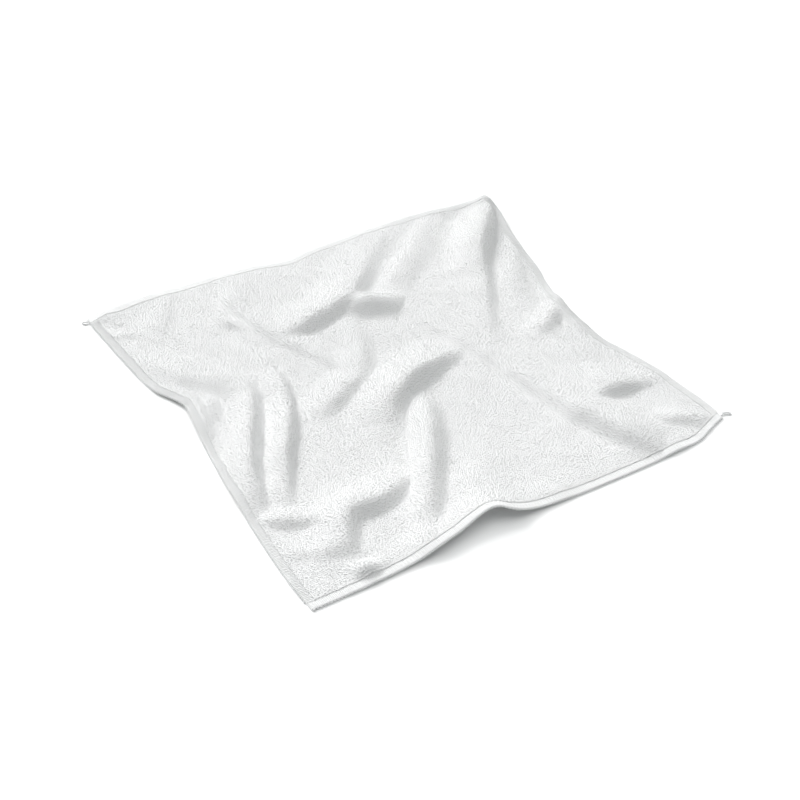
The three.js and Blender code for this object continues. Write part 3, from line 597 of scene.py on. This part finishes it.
def pileNodes(name, shapes, seed):
    tree, source, result = newGroup(name, "GeometryNodeTree", [("Geometry", "Geometry")], [("Geometry", "Geometry")])
    link = tree.links.new
    loops = addNode(tree, "GeometryNodeCollectionInfo", Collection=shapes, Separate_Children=True, Reset_Children=True)
    scatter = addNode(tree, "GeometryNodeInstanceOnPoints", Pick_Instance=True)
    which = addNode(tree, "FunctionNodeRandomValue", {"data_type": "INT"}, Seed=seed)
    which.inputs[4].default_value, which.inputs[5].default_value = 0, len(shapes.objects) - 1
    normal = addNode(tree, "GeometryNodeInputNormal")
    stand = addNode(tree, "FunctionNodeAlignRotationToVector", {"axis": "Z"})
    angles = addNode(tree, "FunctionNodeRandomValue", {"data_type": "FLOAT_VECTOR"}, Seed=seed + 1)
    angles.inputs[0].default_value = (-pile["tilt"], -pile["tilt"], -pile["turn"])
    angles.inputs[1].default_value = (pile["tilt"], pile["tilt"], pile["turn"])
    turn = addNode(tree, "FunctionNodeEulerToRotation")
    rotation = addNode(tree, "FunctionNodeRotateRotation", {"rotation_space": "LOCAL"})
    size = addNode(tree, "FunctionNodeRandomValue", {"data_type": "FLOAT"}, Seed=seed + 2)
    size.inputs[2].default_value, size.inputs[3].default_value = pile["sizeLow"], pile["sizeHigh"]
    shade = addNode(tree, "FunctionNodeRandomValue", {"data_type": "FLOAT"}, Seed=seed + 3)
    keepShade = addNode(tree, "GeometryNodeStoreNamedAttribute", {"data_type": "FLOAT", "domain": "INSTANCE"},
                        Name="loopShade")
    realize = addNode(tree, "GeometryNodeRealizeInstances")
    place = addNode(tree, "GeometryNodeInputNamedAttribute", {"data_type": "FLOAT_VECTOR"}, Name="clothPlace")
    keepMap = addNode(tree, "GeometryNodeStoreNamedAttribute", {"data_type": "FLOAT2", "domain": "CORNER"},
                      Name="OFBake")
    link(source.outputs[0], scatter.inputs["Points"])
    link(loops.outputs[0], scatter.inputs["Instance"])
    link(which.outputs[2], scatter.inputs["Instance Index"])
    link(normal.outputs[0], stand.inputs["Vector"])
    link(stand.outputs[0], rotation.inputs["Rotation"])
    link(angles.outputs[0], turn.inputs[0])
    link(turn.outputs[0], rotation.inputs["Rotate By"])
    link(rotation.outputs[0], scatter.inputs["Rotation"])
    link(size.outputs[1], scatter.inputs["Scale"])
    link(scatter.outputs[0], keepShade.inputs["Geometry"])
    link(shade.outputs[1], keepShade.inputs["Value"])
    link(keepShade.outputs[0], realize.inputs[0])
    link(realize.outputs[0], keepMap.inputs["Geometry"])
    link(place.outputs[0], keepMap.inputs["Value"])
    link(keepMap.outputs[0], result.inputs[0])
    return tree


def pileStrip(name, shapes, strip, strips, face, pitch, clear, sink, seed):
    side = clothSize["side"]
    chance = np.random.default_rng(seed)
    count = round((side - 2 * clear) / pitch)
    places = (clear + (np.arange(count) + 0.5) * (side - 2 * clear) / count) / side
    rows = np.array_split(places, strips)[strip]
    bed, column, row = flatGrid(name, len(places), len(rows), turned=face < 0)
    stray = chance.uniform(-1, 1, (2, len(column))) * pile["jitter"] * pitch / side
    stray[0] += (np.round(row * (len(rows) - 1)) % 2 - 0.5) * pile["rowShift"] * pitch / side
    across = np.interp(column, [0, 1], [places[0], places[-1]]) + stray[0]
    up = np.interp(row, [0, 1], [rows[0], rows[-1]]) + stray[1]
    layOnCloth(bed, across, up, face * (groundKnit["thickness"] / 2 - sink))
    piece = newPiece(name, bed, None, "terry_fabric", "cloth_panel")
    modifier = piece.modifiers.new("loops", "NODES")
    modifier.node_group = pileNodes(f"{name}_nodes", shapes, seed)
    applyModifiers(piece)
    return piece


def pileStrips():
    shapes = loopCollection("pileLoops")
    pieces = []
    for name, strips, face, pitch, clear, sink, seed in (
            ("upper_pile", pile["strips"], 1, pile["pitch"], pile["clear"], pile["sink"], pile["seed"]),
            ("lower_pile", pile["undersideStrips"], -1, pile["undersidePitch"], pile["undersideClear"],
             pile["sink"] + pile["undersideSink"], pile["undersideSeed"])):
        for strip in range(strips):
            pieces.append(pileStrip(f"{name}_{strip + 1}", shapes, strip, strips, face, pitch, clear, sink,
                                    seed + pile["seedStep"] * strip))
    for shape in list(shapes.objects):
        bpy.data.objects.remove(shape)
    bpy.data.collections.remove(shapes)
    return pieces


pilePieces = pileStrips()
report(f"pile of {sum(len(piece.data.polygons) for piece in pilePieces)} faces")


# overlock seam

seam = {
    "pitch": 0.0028,          # between stitches
    "looperRadius": 0.00026,
    "needleRadius": 0.00030,
    "cornerGap": 0.0004,      # front and back seams stop just short of the corners
    "endGap": 0.0081,         # left and right seams stop short of the front and back ones
    "sides": 1,               # bevel resolution of a thread
    "stray": 0.00010,
    "seed": 41,
    # one stitch of each thread: along the edge in stitches, in from the raw edge and off the middle in metres
    "upperLooper": [(0.00, 0.0067, 0.00068), (0.17, 0.0064, 0.00076), (0.27, 0.0047, 0.00080),
                    (0.31, 0.0028, 0.00078), (0.29, 0.0008, 0.00068), (0.27, -0.0003, 0.00052),
                    (0.38, -0.0009, 0.00030), (0.62, -0.0009, 0.00030), (0.73, -0.0003, 0.00052),
                    (0.71, 0.0008, 0.00068), (0.69, 0.0028, 0.00078), (0.73, 0.0047, 0.00080),
                    (0.83, 0.0064, 0.00076)],
    "lowerLooper": [(0.00, 0.0067, -0.00052), (0.17, 0.0064, -0.00054), (0.29, 0.0047, -0.00053),
                    (0.33, 0.0020, -0.00053), (0.31, 0.0, -0.00048), (0.38, -0.0008, -0.00034),
                    (0.62, -0.0008, -0.00034), (0.69, 0.0, -0.00048), (0.67, 0.0020, -0.00053),
                    (0.71, 0.0047, -0.00053), (0.83, 0.0064, -0.00054)],
    "needle": [(0.00, 0.0070, 0.00050), (0.10, 0.0070, 0.00090), (0.30, 0.0070, 0.00122), (0.70, 0.0070, 0.00122),
               (0.90, 0.0070, 0.00090)],
}


def edgePlace(edgeName, along, inward):       # shares of the flat cloth for a place along and in from an edge
    along, inward = along / clothSize["side"], inward / clothSize["side"]
    return {
        "front": (along, inward),
        "back": (1 - along, 1 - inward),
        "left": (inward, 1 - along),
        "right": (1 - inward, along),
    }[edgeName]


def threadPiece(name, points, radius, nodes):
    curve = bpy.data.curves.new(name, "CURVE")
    curve.dimensions = "3D"
    curve.bevel_depth, curve.bevel_resolution, curve.use_fill_caps = radius, seam["sides"], True
    spline = curve.splines.new("POLY")
    spline.points.add(len(points) - 1)
    spline.points.foreach_set("co", np.column_stack([points, np.ones(len(points))]).ravel())
    drawn = bpy.data.objects.new(name, curve)
    bpy.context.scene.collection.objects.link(drawn)
    bpy.context.view_layer.update()
    mesh = bpy.data.meshes.new_from_object(drawn.evaluated_get(bpy.context.evaluated_depsgraph_get()))
    bpy.data.objects.remove(drawn)
    mesh.polygons.foreach_set("use_smooth", [True] * len(mesh.polygons))
    return newPiece(name, mesh, threadFinish, "seam_thread", *nodes)


def stitches(edgeName, threadName, first, last):
    chance = np.random.default_rng(seam["seed"] + sum(map(ord, edgeName + threadName)))
    count = round((last - first) / seam["pitch"])
    pitch = (last - first) / count
    pattern = np.array(seam[threadName])
    along = np.concatenate([first + (number + pattern[:, 0]) * pitch for number in range(count)])
    inward, rise = np.tile(pattern[:, 1], count), np.tile(pattern[:, 2], count)
    along = np.clip(along + chance.normal(0, seam["stray"], along.shape), first, last)
    inward = inward + chance.normal(0, seam["stray"], inward.shape)
    across, up = edgePlace(edgeName, along, inward)
    return surfaceAt(across, up, rise)


for edgeName in outline:
    gap = seam["endGap"] if edgeName in ("left", "right") else seam["cornerGap"]
    for threadName, nodeName, radius in (("upperLooper", "upper_looper_thread", seam["looperRadius"]),
                                         ("lowerLooper", "lower_looper_thread", seam["looperRadius"]),
                                         ("needle", "needle_thread", seam["needleRadius"])):
        path = stitches(edgeName, threadName, gap, clothSize["side"] - gap)
        threadPiece(f"{edgeName}_{threadName}", path, radius, [f"{edgeName}_{nodeName}"])
report("seam")


# thread tails

tail = {
    "length": 0.011,
    "plyRadius": 0.00036,
    "plies": 2,
    "plyOff": 1.1,            # a ply's middle off the tail's, in ply radii
    "endHeight": 2.2,         # of the tail's middle over the table, in ply radii
    "turns": 5,
    "steps": 20,              # between two points of its way
    # where each starts and a place further inside, its handedness, and its way along and aside as shares of the length
    "back_left": ((0.0, 0.993), (0.01, 0.993), 1,
                  [(0, 0), (0.2, -0.15), (0.38, -0.3), (0.45, -0.15), (0.35, 0.02), (0.15, 0.1)]),
    "front_right": ((1.0, 0.007), (0.99, 0.007), -1,
                    [(0, 0), (0.3, 0.15), (0.6, 0.42), (0.72, 0.35), (0.6, 0.1), (0.35, -0.05)]),
}


def tailPlies(corner):
    startPlace, insidePlace, hand, shape = tail[corner]
    start, inside = surfaceAt(*startPlace), surfaceAt(*insidePlace)
    onward = start - inside
    onward[2] = 0
    onward /= np.linalg.norm(onward)
    upward, sideways = np.array([0, 0, 1.0]), np.array([-onward[1], onward[0], 0]) * hand
    way = smoothLine([tail["length"] * (along * onward + aside * sideways) for along, aside in shape], tail["steps"])
    run = np.linspace(0, 1, len(way))
    way += start
    way[:, 2] = start[2] + (tail["endHeight"] * tail["plyRadius"] - start[2]) * np.sqrt(run)
    for ply in range(tail["plies"]):
        angle = 2 * math.pi * (tail["turns"] * run + ply / tail["plies"])
        reach = tail["plyOff"] * tail["plyRadius"]
        points = way + reach * (np.cos(angle)[:, None] * upward + np.sin(angle)[:, None] * sideways)
        threadPiece(f"{corner}_tail_ply_{ply + 1}", points, tail["plyRadius"], [f"{corner}_thread_tail"])


for corner in ("back_left", "front_right"):
    tailPlies(corner)
report("thread tails")


# floor, light and camera

studio = {
    "floorSize": 8.0,
    "floorColour": (0.97, 0.97, 0.97, 1),
    "floorGain": 0.08,         # how much whiter the camera sees the floor
    "dome": (0.16, 0.172, 0.17, 1),
}

# azimuth is where a lamp's light comes from, from +X towards +Y; all angles in degrees
lamps = {
    "backWindow": {"power": 1.72, "azimuth": 103, "elevation": 37, "spread": 24},
    "backSky": {"power": 0.32, "azimuth": 95, "elevation": 45, "spread": 80},
    "softBoxAbove": {"power": 1.62, "azimuth": 70, "elevation": 77, "spread": 80},
}


def whiteFloor():
    bm = bmesh.new()
    bmesh.ops.create_grid(bm, x_segments=1, y_segments=1, size=studio["floorSize"] / 2)
    floor = newPiece("floor", meshFrom(bm, "floor"), None, None)
    material = bpy.data.materials.new("whiteFloor")
    material.use_nodes = True
    tree = material.node_tree
    tree.nodes.clear()
    diffuse = addNode(tree, "ShaderNodeBsdfDiffuse", Color=studio["floorColour"])
    gain = addNode(tree, "ShaderNodeBsdfDiffuse")
    seen = addNode(tree, "ShaderNodeLightPath")
    share = addNode(tree, "ShaderNodeMath", {"operation": "MULTIPLY"})
    share.inputs[1].default_value = studio["floorGain"]
    both = addNode(tree, "ShaderNodeAddShader")
    output = addNode(tree, "ShaderNodeOutputMaterial")
    tree.links.new(seen.outputs["Is Camera Ray"], share.inputs[0])
    tree.links.new(share.outputs[0], gain.inputs["Color"])
    tree.links.new(diffuse.outputs[0], both.inputs[0])
    tree.links.new(gain.outputs[0], both.inputs[1])
    tree.links.new(both.outputs[0], output.inputs["Surface"])
    floor.data.materials.append(material)


def sunLamp(name, power, azimuth, elevation, spread):
    lamp = bpy.data.lights.new(name, "SUN")
    lamp.energy, lamp.angle = power, math.radians(spread)
    sun = bpy.data.objects.new(name, lamp)
    a, e = math.radians(azimuth), math.radians(elevation)
    towards = Vector((math.cos(a) * math.cos(e), math.sin(a) * math.cos(e), math.sin(e)))
    sun.rotation_euler = towards.to_track_quat("Z", "Y").to_euler()
    bpy.context.scene.collection.objects.link(sun)


def whiteDome():
    world = bpy.data.worlds.new("whiteDome")
    world.use_nodes = True
    tree = world.node_tree
    tree.nodes.clear()
    dome = addNode(tree, "ShaderNodeBackground", Color=studio["dome"])
    plain = addNode(tree, "ShaderNodeBackground", Color=(1, 1, 1, 1))
    seen = addNode(tree, "ShaderNodeLightPath")
    either = addNode(tree, "ShaderNodeMath", {"operation": "MAXIMUM"})
    mix = addNode(tree, "ShaderNodeMixShader")
    output = addNode(tree, "ShaderNodeOutputWorld")
    tree.links.new(seen.outputs["Is Camera Ray"], either.inputs[0])
    tree.links.new(seen.outputs["Is Glossy Ray"], either.inputs[1])
    tree.links.new(either.outputs[0], mix.inputs["Fac"])
    tree.links.new(dome.outputs[0], mix.inputs[1])
    tree.links.new(plain.outputs[0], mix.inputs[2])
    tree.links.new(mix.outputs[0], output.inputs["Surface"])
    bpy.context.scene.world = world


# metres, degrees and millimetres
view = {"place": (-0.4828, -0.7976, 0.691), "azimuth": -31.17, "elevation": 37.81, "lens": 63.99, "sensor": 36,
        "clipStart": 0.01, "clipEnd": 30}


def photoCamera():
    lens = bpy.data.cameras.new("camera")
    lens.lens, lens.sensor_width = view["lens"], view["sensor"]
    lens.clip_start, lens.clip_end = view["clipStart"], view["clipEnd"]
    camera = bpy.data.objects.new("camera", lens)
    camera.location = view["place"]
    camera.rotation_euler = (math.radians(90 - view["elevation"]), 0, math.radians(view["azimuth"]))
    bpy.context.scene.collection.objects.link(camera)
    bpy.context.scene.camera = camera


whiteFloor()
whiteDome()
for name, lamp in lamps.items():
    sunLamp(name, **lamp)
photoCamera()
bpy.context.scene.view_settings.view_transform = "Standard"
report("studio")
